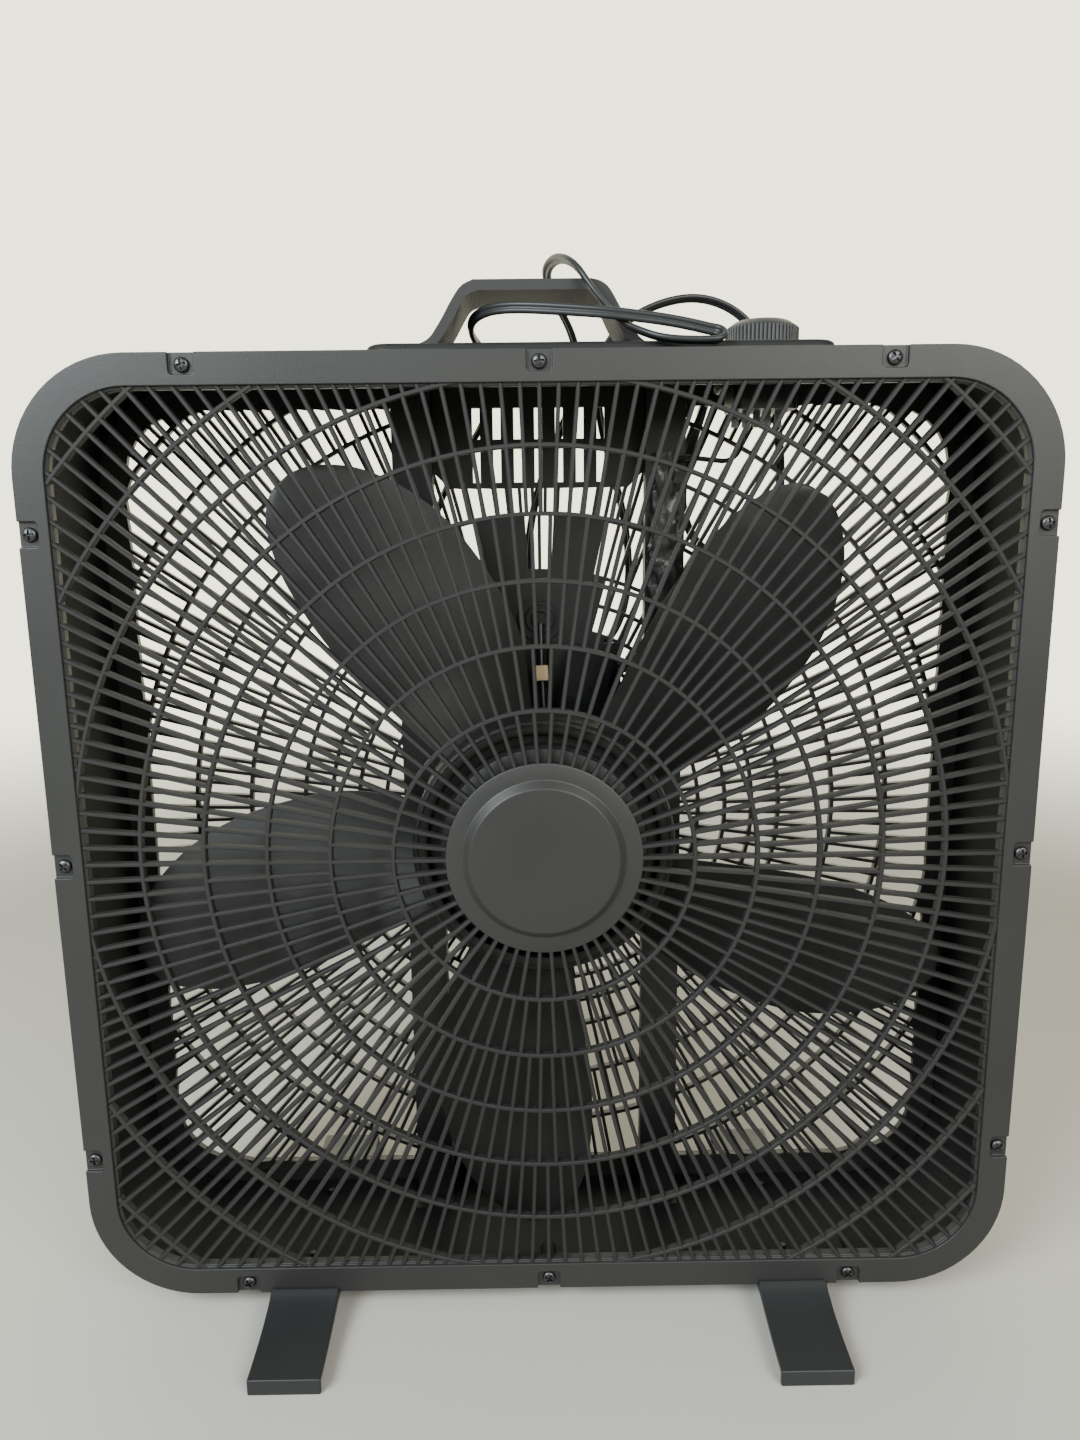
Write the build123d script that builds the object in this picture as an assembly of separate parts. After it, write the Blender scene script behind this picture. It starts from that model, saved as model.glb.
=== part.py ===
from build123d import *
import math
import os

# Box fan. Millimetres. X to the right, Y to the rear, Z up.
# Origin on the table under the middle of the case. The front faces -Y.

# driving dimensions
case_w = 530.0
case_h = 528.0
case_d = 107.0
case_lift = 14.0
corner_r = 60.0
wall = 2.4
bezel = 16.0
grille_t = 5.0
rear_t = 4.0
rib_w = 2.1
ring_w = 2.3
ring_pitch = 34.0
first_ring = 82.0
disc_r = 53.7
rear_disc_r = 82.0
blade_count = 5
blade_r = 247.0
hub_r = 74.0
blade_t = 2.4
blade_angle = 120.0
blade_pitch = 48.0
shaft_r = 4.0
motor_side = 84.0
strut_x = 73.5
strut_w = 23.0
strut_t = 1.4
lug_z = 50.0
handle_depth = 45.0
handle_top = 38.5
arch_t = 5.4
arch_sink = 1.0
plate_w = 240.0
plate_deep = 84.0
plate_x = 32.0
knob_x = 121.0
knob_r = 19.6
knob_h = 14.5
foot_x = 143.4
foot_w = 39.5
foot_reach = 59.0
cord_r = 3.0

splice_len = 9.0
relief_x = 106.0
relief_len = 25.0
plug_x = -20.0
plug_y = 95.0
plug_z = 8.0

# screws: head, shank and the holes they cut or pass through
head_r = 3.8
shank_r = 1.45
pilot_r = 1.5
boss_r = 4.6
foot_screw_y = 30.0

# derived places
front_y = -case_d / 2
rear_y = case_d / 2
axis_z = case_lift + case_h / 2
top_z = case_lift + case_h
plate_t = 5.0
plate_z = top_z + plate_t
grille_back = front_y + grille_t
rear_front = rear_y - 3.0 - rear_t
inner_z = top_z - wall
floor_z = case_lift + wall
screw_span = 176.4
screw_x = case_w / 2 - 5.6
screw_z = case_h / 2 - 6.0
front_ribs = [54, 74, 118, 118, 160, 160, 208, 208, 208]
rear_rings = [99.0, 116.0, 133.0, 150.0, 184.0, 218.0, 252.0, 286.0, 320.0]
rear_ribs = [74, 74, 118, 118, 118, 160, 160, 208, 208, 208]
relief_z = case_h / 2 - 10.0
stator_front = 18.0
stator_rear = 34.0
bracket_y = 42.0


def facing(y):
    """Plane across the fan: its x is X and its y is Z, both measured from the blade axis."""
    return Plane(origin=(0, y, axis_z), x_dir=(1, 0, 0), z_dir=(0, -1, 0))


def slab(sketch, y0, y1):
    return extrude(facing(y1) * sketch, amount=y1 - y0)


def tube_y(r, y0, y1, x=0.0, z=0.0):
    return slab(Pos(x, z) * Circle(r), y0, y1)


def upright(r, x, y, z0, z1):
    return extrude(Plane((x, y, z0)) * Circle(r), amount=z1 - z0)


def save(shape, node):
    solids = shape.solids() if hasattr(shape, "solids") else ShapeList(shape)
    out = solids[0] if len(solids) == 1 else Compound(children=list(solids))
    out.label = node
    export_step(out, os.path.join("parts", node + ".step"))


def group(shapes):
    return Compound(children=[s for shape in shapes for s in shape.solids()])


def polar(r, degrees):
    a = math.radians(degrees)
    return (r * math.cos(a), r * math.sin(a))


def reach(degrees, half_w, half_h, radius):
    """Distance from the middle to a rounded rectangle's edge in one direction."""
    c = abs(math.cos(math.radians(degrees)))
    s = abs(math.sin(math.radians(degrees)))
    r = min(half_w / max(c, 1e-9), half_h / max(s, 1e-9))
    cx = half_w - radius
    cy = half_h - radius
    if r * c > cx and r * s > cy:
        along = cx * c + cy * s
        r = along + math.sqrt(along * along - cx * cx - cy * cy + radius * radius)
    return r


def cells(rings, counts, inner, half_w, half_h, radius, phase, cap, keep):
    """Open cells between the rings and ribs, as four-point outlines."""
    edges = [inner] + [r - ring_w / 2 for r in rings] + [999.0]
    starts = [inner] + [r + ring_w / 2 for r in rings]
    out = []
    for band, count in enumerate(counts):
        pitch = 360.0 / count
        r0 = starts[band]
        r1 = edges[band + 1]
        for i in range(count):
            a0 = (i + phase) * pitch
            a1 = a0 + pitch
            lean0 = math.degrees(math.asin(rib_w / 2 / r0))
            top0 = min(r1, reach(a0, half_w, half_h, radius), cap(a0))
            top1 = min(r1, reach(a1, half_w, half_h, radius), cap(a1))
            if min(top0, top1) - r0 < 2.0:
                continue
            lean_a = math.degrees(math.asin(rib_w / 2 / top0))
            lean_b = math.degrees(math.asin(rib_w / 2 / top1))
            corners = [polar(r0, a0 + lean0), polar(top0, a0 + lean_a)]
            corners += [polar(top1, a1 - lean_b), polar(r0, a1 - lean0)]
            if keep(corners):
                out.append(corners)
    return out


def lattice(outline, openings, rounds):
    """Flat face with four-sided openings and round holes, given as (x, z, radius)."""
    holes = [Wire.make_polygon([(x, y, 0) for x, y in c], close=True) for c in openings]
    holes += [Wire([Edge.make_circle(r, Plane((x, z, 0)))]) for x, z, r in rounds]
    return Face(outline.wire(), holes)


def screw_spots():
    spots = [(x, z) for x in (-screw_span, 0, screw_span) for z in (-screw_z, screw_z)]
    spots += [(x, z) for x in (-screw_x, screw_x) for z in (-screw_span, 0, screw_span)]
    return spots


def pocket(x, z):
    """Recess for one bezel screw, open to the outer edge of the bezel."""
    if abs(z) > screw_z - 1:
        return Pos(x, z + math.copysign(1.5, z)) * Rectangle(13, 15)
    return Pos(x + math.copysign(1.5, x), z) * Rectangle(15, 13)


def front_grille():
    half_w = case_w / 2 - bezel
    half_h = case_h / 2 - bezel
    rings = [first_ring + i * ring_pitch for i in range(8)]
    inside_r = corner_r - bezel
    openings = cells(rings, front_ribs, disc_r, half_w, half_h, inside_r, 0, lambda a: 999.0, lambda c: True)
    outline = RectangleRounded(case_w, case_h, corner_r)
    holes = [(x, z, 2.1) for x, z in screw_spots()]
    plate = slab(lattice(outline, openings, holes), front_y + 1.0, grille_back)
    frame = outline - RectangleRounded(2 * half_w, 2 * half_h, corner_r - bezel)
    for x, z in screw_spots():
        frame -= pocket(x, z)
    rim = slab(frame, front_y, front_y + 1.0)
    disc = slab(Circle(disc_r + 0.5), front_y + 0.4, front_y + 1.0)
    raised = extrude(facing(front_y + 0.4) * Circle(44.5), amount=4.0, taper=40)
    return plate + (rim + disc + raised)


def case_shell():
    outer = RectangleRounded(case_w - 1.0, case_h, corner_r)
    inner = RectangleRounded(case_w - 1.0 - 2 * wall, case_h - 2 * wall, corner_r - wall)
    opening = RectangleRounded(case_w - 34, case_h - 34, corner_r - 17)
    shell = slab(outer - inner, grille_back, rear_y)
    shell += slab(outer - opening, rear_y - 3.0, rear_y)
    for x, z in screw_spots():
        shell += tube_y(boss_r, grille_back, grille_back + 22, x, z) & slab(outer, grille_back, rear_y)
    for x, z in screw_spots():
        shell -= tube_y(pilot_r, grille_back, grille_back + 18, x, z)
    for x, z in rear_screw_spots():
        shell -= tube_y(2.0, rear_y - 3.0, rear_y, x, z)
    for x in (-foot_x, foot_x):
        for y in (-foot_screw_y, foot_screw_y):
            shell -= upright(1.6, x, y, case_lift, floor_z)
    for x, y in handle_screw_spots():
        shell -= upright(2.0, x, y, inner_z, top_z)
    shell -= upright(5.0, knob_x, 0, inner_z, top_z)
    shell -= tube_y(4.7, rear_y - 3.0, rear_y, relief_x, relief_z)
    return shell


def rear_screw_spots():
    side = case_w / 2 - 12.0
    tall = case_h / 2 - 11.5
    spots = [(x, z) for x in (-190, 190) for z in (-tall, tall)]
    return spots + [(x, z) for x in (-side, side) for z in (-120, 120)]


def handle_screw_spots():
    return [(x, y) for x in (-52.0, 44.0) for y in (-foot_screw_y, foot_screw_y)]


def rear_grille():
    half_w = case_w / 2 - 18.5
    half_h = case_h / 2 - 18.5

    def cap(degrees):
        s = math.sin(math.radians(degrees))
        c = math.cos(math.radians(degrees))
        under_vent = s > 0 and abs(c) * 199.0 < 52.0 * s
        return 199.0 / s if under_vent else 999.0

    def keep(corners):
        solid = False
        for x, z in corners:
            neck = abs(x) < 31.5 and 0 < z < 150.5
            vent = abs(x) < 51.5 and z > 199.5
            solid = solid or neck or vent
        return not solid

    openings = cells(rear_rings, rear_ribs, rear_disc_r, half_w, half_h, 42.0, 0.5, cap, keep)
    for column in range(-3, 4):
        for z0, z1 in ((202.5, 222.0), (227.5, half_h)):
            x0 = column * 12.3 - 2.3
            openings.append([(x0, z0), (x0 + 4.6, z0), (x0 + 4.6, z1), (x0, z1)])
    outline = RectangleRounded(case_w - 8, case_h - 8, corner_r - 4)
    holes = [(x, z, 1.6) for x, z in rear_screw_spots()] + [(relief_x, relief_z, 5.0)]
    body = slab(lattice(outline, openings, holes), rear_front, rear_y - 3.0)
    ring = Pos(0, 121) * (Circle(14) - Circle(11))
    return body + slab(ring, rear_front - 1.0, rear_front)


def bezel_screws():
    out = []
    for x, z in screw_spots():
        head = tube_y(head_r, front_y - 0.2, front_y + 1.0, x, z)
        shank = tube_y(shank_r, front_y + 1.0, grille_back + 14, x, z)
        slot = slab(Pos(x, z) * (Rectangle(4.4, 1.0) + Rectangle(1.0, 4.4)), front_y - 0.2, front_y + 0.4)
        out.append(head + shank - slot)
    return group(out)


def rear_screws():
    out = []
    for x, z in rear_screw_spots():
        out.append(tube_y(head_r, rear_y, rear_y + 1.8, x, z) + tube_y(1.55, rear_front, rear_y, x, z))
    return group(out)


def arch(inset):
    """Handle outline in X and Z, moved inwards by inset; its base is sunk into the plate."""
    base = plate_z - arch_sink
    top = top_z + handle_top - inset
    left = Line((-78 + inset, base), (-76 + inset, base + 0.8))
    low_l = (-58.5 + 0.75 * inset, base + 4.5 - 0.5 * inset)
    mid_l = (-51.8 + 0.85 * inset, base + 12.5 - 0.53 * inset)
    high_l = (-44.2 + 0.71 * inset, top - 9.1 + 0.29 * inset)
    leg_l = Spline(left @ 1, low_l, mid_l, high_l, (-33 + 0.4 * inset, top))
    flat = Line(leg_l @ 1, (27 - 0.4 * inset, top))
    high_r = (36.5 - 0.6 * inset, top - 4.8 + 0.3 * inset)
    mid_r = (44.5 - 0.83 * inset, top - 17 + 0.45 * inset)
    low_r = (50.5 - 0.83 * inset, base + 8 - 0.5 * inset)
    leg_r = Spline(flat @ 1, high_r, mid_r, low_r, (62 - inset, base + 0.8))
    right = Line(leg_r @ 1, (64 - inset, base))
    return make_face([left, leg_l, flat, leg_r, right, Line(right @ 1, left @ 0)])


def top_handle():
    plate = extrude(Plane((plate_x, 0, top_z)) * RectangleRounded(plate_w, plate_deep, 12), amount=plate_t)
    plate = fillet(plate.faces().sort_by(Axis.Z)[-1].edges(), 3.0)
    side = Plane(origin=(0, handle_depth / 2, 0), x_dir=(1, 0, 0), z_dir=(0, -1, 0))
    bow = extrude(side * arch(0), amount=handle_depth)
    hollow = extrude(side * arch(arch_t), amount=handle_depth)
    core = Plane((plate_x, 0, top_z)) * Rectangle(plate_w - 4, plate_deep - 4)
    keep_plate = extrude(core, amount=plate_t - 0.2)
    body = plate + (bow - hollow)
    body += keep_plate
    body -= upright(5.0, knob_x, 0, top_z, plate_z)
    for x, y in handle_screw_spots():
        body -= upright(pilot_r, x, y, top_z, top_z + 4.0)
    return body


def handle_screws():
    out = []
    for x, y in handle_screw_spots():
        head = upright(head_r, x, y, inner_z - 2.0, inner_z)
        out.append(head + upright(shank_r, x, y, inner_z, top_z + 3.6))
    return group(out)


def speed_knob():
    base = plate_z + 0.6
    body = upright(knob_r - 0.7, knob_x, 0, base, base + knob_h)
    body = chamfer(body.edges().sort_by(Axis.Z)[-1], 3.6)
    flute = RegularPolygon(0.9, 4)
    for i in range(54):
        x, y = polar(knob_r - 0.7, i * 360 / 54)
        ridge = Plane((knob_x + x, y, base)) * Rot(0, 0, i * 360 / 54) * flute
        body += extrude(ridge, amount=knob_h - 3.8)
    body -= upright(3.1, knob_x, 0, base, base + 9.0)
    body -= upright(knob_r - 3.2, knob_x, 0, base, base + 4.0) - upright(6.0, knob_x, 0, base, base + 4.0)
    return body


def switch_shaft():
    shaft = upright(3.05, knob_x, 0, inner_z - 6.0, plate_z + 9.0)
    return shaft


def rotary_switch():
    body = extrude(Plane((knob_x, 0, inner_z - 24)) * RectangleRounded(34, 34, 4), amount=22.5)
    body += upright(4.4, knob_x, 0, inner_z - 1.5, plate_z)
    body -= upright(3.15, knob_x, 0, inner_z - 6.0, plate_z)
    return body


def switch_terminals():
    out = []
    for i in range(5):
        spot = Plane((knob_x - 12 + 6 * i, 8, inner_z - 32))
        out.append(extrude(spot * Rectangle(4.0, 0.8), amount=8))
    return group(out)


def switch_nut():
    nut = extrude(Plane((knob_x, 0, inner_z - 1.5)) * (RegularPolygon(7.5, 6) - Circle(4.5)), amount=1.5)
    return nut


def foot(x):
    side = Plane(origin=(x - foot_w / 2, 0, 0), x_dir=(0, 1, 0), z_dir=(1, 0, 0))
    tip = case_d / 2 + foot_reach
    edge = case_d / 2 + 0.4
    top = 9.5
    out = [Line((-edge, case_lift), (-edge, case_lift + 3.5))]
    out.append(Line((-edge, case_lift + 3.5), (-edge - 2, case_lift + 3.5)))
    out.append(Spline((-edge - 2, case_lift + 3.5), (-edge - 22, 11.2), (-tip, top)))
    out.append(Line((-tip, top), (-tip, 0)))
    out.append(Line((-tip, 0), (-tip + 3.5, 0)))
    out.append(Line((-tip + 3.5, 0), (-tip + 3.5, top - 4)))
    out.append(Spline((-tip + 3.5, top - 4), (-edge - 20, 7.6), (-edge + 6, 10.0)))
    out.append(Line((-edge + 6, 10.0), (0, 10.0)))
    out.append(Line((0, 10.0), (0, case_lift)))
    out.append(Line((0, case_lift), (-edge, case_lift)))
    half = extrude(side * make_face(out), amount=foot_w)
    body = half + mirror(half, Plane.XZ)
    for y in (-foot_screw_y, foot_screw_y):
        body += upright(7.0, x, y, 0, 11)
        body -= upright(1.9, x, y, 0, case_lift)
        body -= upright(4.6, x, y, 0, 6.0)
    return body


def foot_screws():
    out = []
    for x in (-foot_x, foot_x):
        for y in (-foot_screw_y, foot_screw_y):
            out.append(upright(head_r, x, y, 4.0, 6.0) + upright(1.55, x, y, 6.0, floor_z + 6))
    return group(out)


def strut(sign):
    """Upright channel, open to the rear, from the floor of the case to its roof."""
    x = sign * strut_x
    deep = 12.0
    web = Pos(x, 0) * Rectangle(strut_w, case_h - 2 * wall)
    body = slab(web, bracket_y - deep, bracket_y - deep + strut_t)
    for side in (-1, 1):
        flange = Pos(x + side * (strut_w - strut_t) / 2, 0) * Rectangle(strut_t, case_h - 2 * wall)
        body += slab(flange, bracket_y - deep, bracket_y)
    for z in (-lug_z, lug_z):
        lug = Pos(x, z) * Rectangle(strut_w, 12)
        body += slab(lug, bracket_y - strut_t, bracket_y)
        body -= tube_y(1.6, bracket_y - strut_t, bracket_y, x, z)
    for end in (-1, 1):
        tab = Pos(x, end * (case_h / 2 - wall - strut_t / 2)) * Rectangle(strut_w, strut_t)
        body += slab(tab, bracket_y - deep - 14, bracket_y)
    return body


def strut_screws():
    out = []
    for x in (-strut_x, strut_x):
        for z in (-lug_z, lug_z):
            head = tube_y(3.4, bracket_y + 1.6, bracket_y + 2.6, x, z)
            out.append(head + tube_y(1.55, bracket_y - 6, bracket_y + 1.6, x, z))
    return group(out)


def motor_bracket():
    """Steel plate that ties the motor to both struts and carries the capacitor."""
    face = Rectangle(2 * strut_x + strut_w, 124) - Circle(20)
    for x in (-1, 1):
        face -= Pos(x * 52, 0) * Rectangle(14, 80)
    face += Pos(27, 82) * Rectangle(44, 48)
    for x in (-strut_x, strut_x):
        for z in (-lug_z, lug_z):
            face -= Pos(x, z) * Circle(1.7)
    for x, z in bolt_spots():
        face -= Pos(x, z) * Circle(2.0)
    return slab(face, bracket_y, bracket_y + 1.6)


def bolt_spots():
    return [(x, z) for x in (-35, 35) for z in (-35, 35)]


def end_bell(y0, y1, closed_y):
    """Motor end cover: a shallow cup with a bearing seat in the middle."""
    outer = RectangleRounded(motor_side, motor_side, 12)
    body = slab(outer, y0, y1)
    inner0 = y0 if closed_y != y0 else y0 + 2.0
    inner1 = y1 if closed_y != y1 else y1 - 2.0
    body -= slab(Circle(39.5), inner0, inner1)
    body += tube_y(12, y0, y1)
    body -= tube_y(8.0, y0, y1)
    for i in range(8):
        x, z = polar(26, 22.5 + 45 * i)
        body -= tube_y(5.0, y0, y1, x, z)
    for x, z in bolt_spots():
        body -= tube_y(2.0, y0, y1, x, z)
    return body


def bearing(y0, y1):
    return tube_y(8.0, y0, y1) - tube_y(shaft_r + 0.05, y0, y1)


def stator_core():
    face = RectangleRounded(motor_side, motor_side, 12) - Circle(26.3)
    for i in range(16):
        face -= Rot(0, 0, 22.5 * i) * Pos(31, 0) * Rectangle(12, 4)
    for x, z in bolt_spots():
        face -= Pos(x, z) * Circle(2.0)
    return slab(face, stator_front, stator_rear)


def stator_windings():
    ring = Circle(37.5) - Circle(27.5)
    return group([slab(ring, stator_front - 6.5, stator_front), slab(ring, stator_rear, stator_rear + 5.5)])


def rotor_core():
    return tube_y(25.9, stator_front, stator_rear) - tube_y(shaft_r, stator_front, stator_rear)


def motor_shaft():
    return tube_y(shaft_r, -26.0, bracket_y)


def motor_bolts():
    out = []
    for x, z in bolt_spots():
        body = tube_y(1.9, 7.0, bracket_y + 2.0, x, z)
        body += slab(Pos(x, z) * RegularPolygon(3.8, 6), 5.0, 7.0)
        out.append(body)
    return group(out)


def run_capacitor():
    spot = Pos(27, 83) * Rot(0, 0, -12)
    body = slab(spot * RectangleRounded(27, 38, 2), bracket_y - 16.5, bracket_y)
    body += slab(spot * Pos(17, 0) * RectangleRounded(9, 10, 3), bracket_y - 2, bracket_y)
    return body


def sweep_round(points, r, radius):
    path = FilletPolyline(*points, radius=radius)
    start = Plane(origin=path @ 0, z_dir=path % 0)
    return sweep(start * Circle(r), path=path, transition=Transition.ROUND)


def motor_leads():
    """Three insulated wires from the switch, along the roof and down the right strut."""
    out = []
    for i in range(3):
        off = (i - 1) * 2.7
        pts = [(knob_x - 6, 12, inner_z - 34), (knob_x - 8, 22 + off, inner_z - 50)]
        pts += [(strut_x + 4, 24 + off, inner_z - 46), (strut_x + off, 26.5, axis_z + 190)]
        pts += [(strut_x + off, 26.0, axis_z + 104), (46, 26.0 + off / 3, axis_z + 92 + off)]
        out.append(sweep_round(pts, 1.25, 9.0))
    return group(out)


def lead_sleeve():
    ring = RectangleRounded(13.5, 6.4, 2.8) - RectangleRounded(12.1, 5.0, 2.1)
    spot = Plane((strut_x, 26.5, axis_z + 128))
    return extrude(spot * ring, amount=64)


def motor_lead():
    pts = [(0, rear_front - 3.2, axis_z + 118), (0, 36, axis_z + 96), (1, 30, axis_z + 72), (3, 25, axis_z + 44.5)]
    return sweep_round(pts, 2.2, 6.0)


def lead_splice():
    a = Plane(origin=(0.5, 33.1, axis_z + 84.5), z_dir=(0.04, -0.25, -1.0))
    return extrude(a * (RectangleRounded(9.0, 8.0, 1.2) - Circle(3.2)), amount=-splice_len)


# outline of one blade, as radius and angle from its own centre line, both edges from hub to tip
front_edge = [(72.0, 17.5), (110.0, 16.9), (150.0, 16.2), (200.0, 13.2), (230.0, 9.8)]
tip_edge = [(243.5, 6.6), (247.0, 3.0), (244.0, 0.0)]
back_edge = [(232.0, -4.2), (205.0, -11.3), (166.0, -17.1), (124.0, -23.3), (100.0, -24.8), (72.0, -25.2)]


def blade_y(degrees):
    return -11.8 - blade_pitch * math.radians(degrees)


def blade_sheet():
    """Twisted plate, wider than the blade, that rises from the back edge to the front edge."""
    sections = []
    for r in (68.0, 110.0, 160.0, 205.0, 250.0):
        pts = []
        for side, sweep_order in ((-1, (-30, -15, 0, 11, 22)), (1, (22, 11, 0, -15, -30))):
            for d in sweep_order:
                across = r * math.tan(math.radians(d))
                pts.append((across, blade_y(d) + side * blade_t / 2))
        plane = Plane(origin=(r, 0, axis_z), x_dir=(0, 0, 1), z_dir=(1, 0, 0))
        wire = Wire([Edge.make_line(*[plane.from_local_coords(Vector(p[0], -p[1], 0)) for p in pair])
                     for pair in zip(pts, pts[1:] + pts[:1])])
        sections.append(Face(wire))
    return loft(sections, ruled=True)


def fan_blade():
    outline = [polar(r, a) for r, a in front_edge + tip_edge + back_edge]
    spline = Spline(*outline)
    prism = slab(make_face([spline, Line(spline @ 1, spline @ 0)]), -50, 30)
    blade = blade_sheet() & prism
    skin = tube_y(hub_r, -33, 2) - tube_y(hub_r - 2.6, -30, 2)
    face = tube_y(59, -36, -30) - tube_y(56, -30.5, -30)
    groove = tube_y(65.5, -33, -31.2) - tube_y(59, -33, -31.2)
    hub = skin + face - groove
    hub += tube_y(9, -34, -4)
    for i in range(10):
        web = Rot(0, 0, 36 * i) * Pos(40, 0) * Rectangle(66, 1.8)
        hub += slab(web, -30.5, -12)
    body = hub
    about = Axis((0, 0, axis_z), (0, -1, 0))
    for i in range(blade_count):
        body += blade.rotate(about, blade_angle + 72 * i)
    body -= tube_y(shaft_r, -27, -4)
    return body


def blade_clip():
    """Spring clip ring that grips the hub collar on the shaft."""
    return tube_y(11, -9, -6) - tube_y(9, -9, -6)


def strain_relief():
    """Tapered sleeve that the cord leaves through, with a flange against the rear flange."""
    bore = tube_y(cord_r + 0.05, rear_front - 3.0, rear_y + relief_len, relief_x, relief_z)
    body = tube_y(4.6, rear_front - 3.0, rear_y, relief_x, relief_z)
    body += tube_y(7.5, rear_y, rear_y + 2.5, relief_x, relief_z)
    tip = facing(rear_y + relief_len) * Pos(relief_x, relief_z) * Circle(3.9)
    root = facing(rear_y + 2.5) * Pos(relief_x, relief_z) * Circle(5.6)
    body += loft([root, tip])
    return body - bore


# way of the cord from the strain relief to the plug, chosen by hand
cord_route = [
    (106, rear_y + relief_len, 532), (106, 91, 531), (103, 98, 517), (94, 94, 492), (90, 83, 461),
    (104, 74, 435), (132, 69, 434), (149, 69, 458), (150, 68, 490), (145, 68, 524),
    (139, 68, 556), (124, 67, 578), (98, 63, 588), (70, 59, 583), (46, 59, 569),
    (36, 64, 548), (37, 67, 520), (45, 67, 490), (54, 67, 456), (57, 67, 418),
    (48, 68, 385), (24, 69, 368), (2, 68, 384), (-7, 67, 414), (-7, 66, 448),
    (1, 66, 482), (14, 65, 512), (26, 63, 540), (22, 55, 564), (10, 40, 582),
    (4, 22, 593), (10, 0, 596), (19, -24, 588), (28, -31, 573), (42, -32, 557),
    (54, -43, 549.8), (63, -47.4, 546.6), (75, -49.2, 545.5), (87, -49.4, 545.4), (90.1, -48.6, 546),
    (92, -46.5, 547.6), (92, -43.9, 549.6), (90.1, -41.8, 551.2), (87, -41, 551.8), (76, -40.2, 554.6),
    (62, -40, 557.2), (50, -40, 558.7), (36, -40, 560.5), (19, -36, 562.5), (-2, -30, 565),
    (-18, -23, 566.5), (-29, -15, 566), (-36, -4, 563), (-36.5, 10, 558.5), (-32, 26, 554),
    (-28, 41, 551), (-26.5, 56, 546), (-27.5, 64.5, 533), (-33, 68.5, 517), (-44, 70, 500),
    (-60, 70, 474), (-72, 71, 438), (-77, 73, 394), (-75, 76, 346), (-78, 80, 296),
    (-74, 84, 246), (-77, 87, 196), (-73, 89, 146), (-76, 91, 100), (-74, 92, 64),
    (-66, 94, 34), (-52, 94.5, 14), (-36, plug_y, plug_z + 0.4), (plug_x, plug_y, plug_z),
]


def bend_radii(points):
    """For each corner, an arc as large as its two runs allow."""
    out = []
    for a, b, c in zip(points, points[1:], points[2:]):
        before = Vector(*b) - Vector(*a)
        after = Vector(*c) - Vector(*b)
        turn = math.radians(before.get_angle(after))
        out.append(0.45 * min(before.length, after.length) / math.tan(turn / 2))
    return out


def power_cord():
    radii = bend_radii(cord_route)
    print("cord radii", [round(r) for r in radii])
    path = FilletPolyline(*cord_route, radius=radii)
    start = Plane(origin=path @ 0, z_dir=path % 0)
    body = sweep(start * Circle(cord_r), path=path)
    print("cord length", round(path.length), "volume ratio", body.volume / (math.pi * cord_r**2 * path.length))
    return body


def plug_plane(x):
    return Plane(origin=(x, plug_y, plug_z), x_dir=(0, 1, 0), z_dir=(1, 0, 0))


def plug_body():
    body = extrude(plug_plane(plug_x) * RectangleRounded(10, 8, 3), amount=10)
    body += extrude(plug_plane(plug_x + 9) * RectangleRounded(24, 15, 4), amount=26)
    return body


def plug_blades():
    tall = extrude(plug_plane(plug_x + 35) * Pos(-6.35, 0) * Rectangle(1.5, 7.9), amount=16)
    short = extrude(plug_plane(plug_x + 35) * Pos(6.35, 0) * Rectangle(1.5, 6.3), amount=16)
    return group([tall, short])


def main():
    os.makedirs("parts", exist_ok=True)
    save(front_grille(), "front_grille")
    save(case_shell(), "case_shell")
    save(rear_grille(), "rear_grille")
    save(bezel_screws(), "bezel_screws")
    save(rear_screws(), "rear_screws")
    save(top_handle(), "top_handle")
    save(handle_screws(), "handle_screws")
    save(speed_knob(), "speed_knob")
    save(switch_shaft(), "switch_shaft")
    save(rotary_switch(), "rotary_switch")
    save(switch_terminals(), "switch_terminals")
    save(switch_nut(), "switch_nut")
    save(foot(-foot_x), "left_foot")
    save(foot(foot_x), "right_foot")
    save(foot_screws(), "foot_screws")
    save(strut(-1), "left_strut")
    save(strut(1), "right_strut")
    save(strut_screws(), "strut_screws")
    save(motor_bracket(), "motor_bracket")
    save(end_bell(8.0, stator_front, 8.0), "front_end_bell")
    save(end_bell(stator_rear, bracket_y, bracket_y), "rear_end_bell")
    save(bearing(8.0, stator_front), "front_bearing")
    save(bearing(stator_rear, bracket_y), "rear_bearing")
    save(stator_core(), "stator_core")
    save(stator_windings(), "stator_windings")
    save(rotor_core(), "rotor_core")
    save(motor_shaft(), "motor_shaft")
    save(motor_bolts(), "motor_bolts")
    save(run_capacitor(), "run_capacitor")
    save(motor_leads(), "motor_leads")
    save(lead_sleeve(), "lead_sleeve")
    save(motor_lead(), "motor_lead")
    save(lead_splice(), "lead_splice")
    save(fan_blade(), "fan_blade")
    save(blade_clip(), "blade_clip")
    save(strain_relief(), "strain_relief")
    save(power_cord(), "power_cord")
    save(plug_body(), "plug_body")
    save(plug_blades(), "plug_blades")


main()
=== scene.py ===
import math
import random

import bmesh
import bpy
import numpy as np
from mathutils import Matrix, Vector, noise


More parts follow.
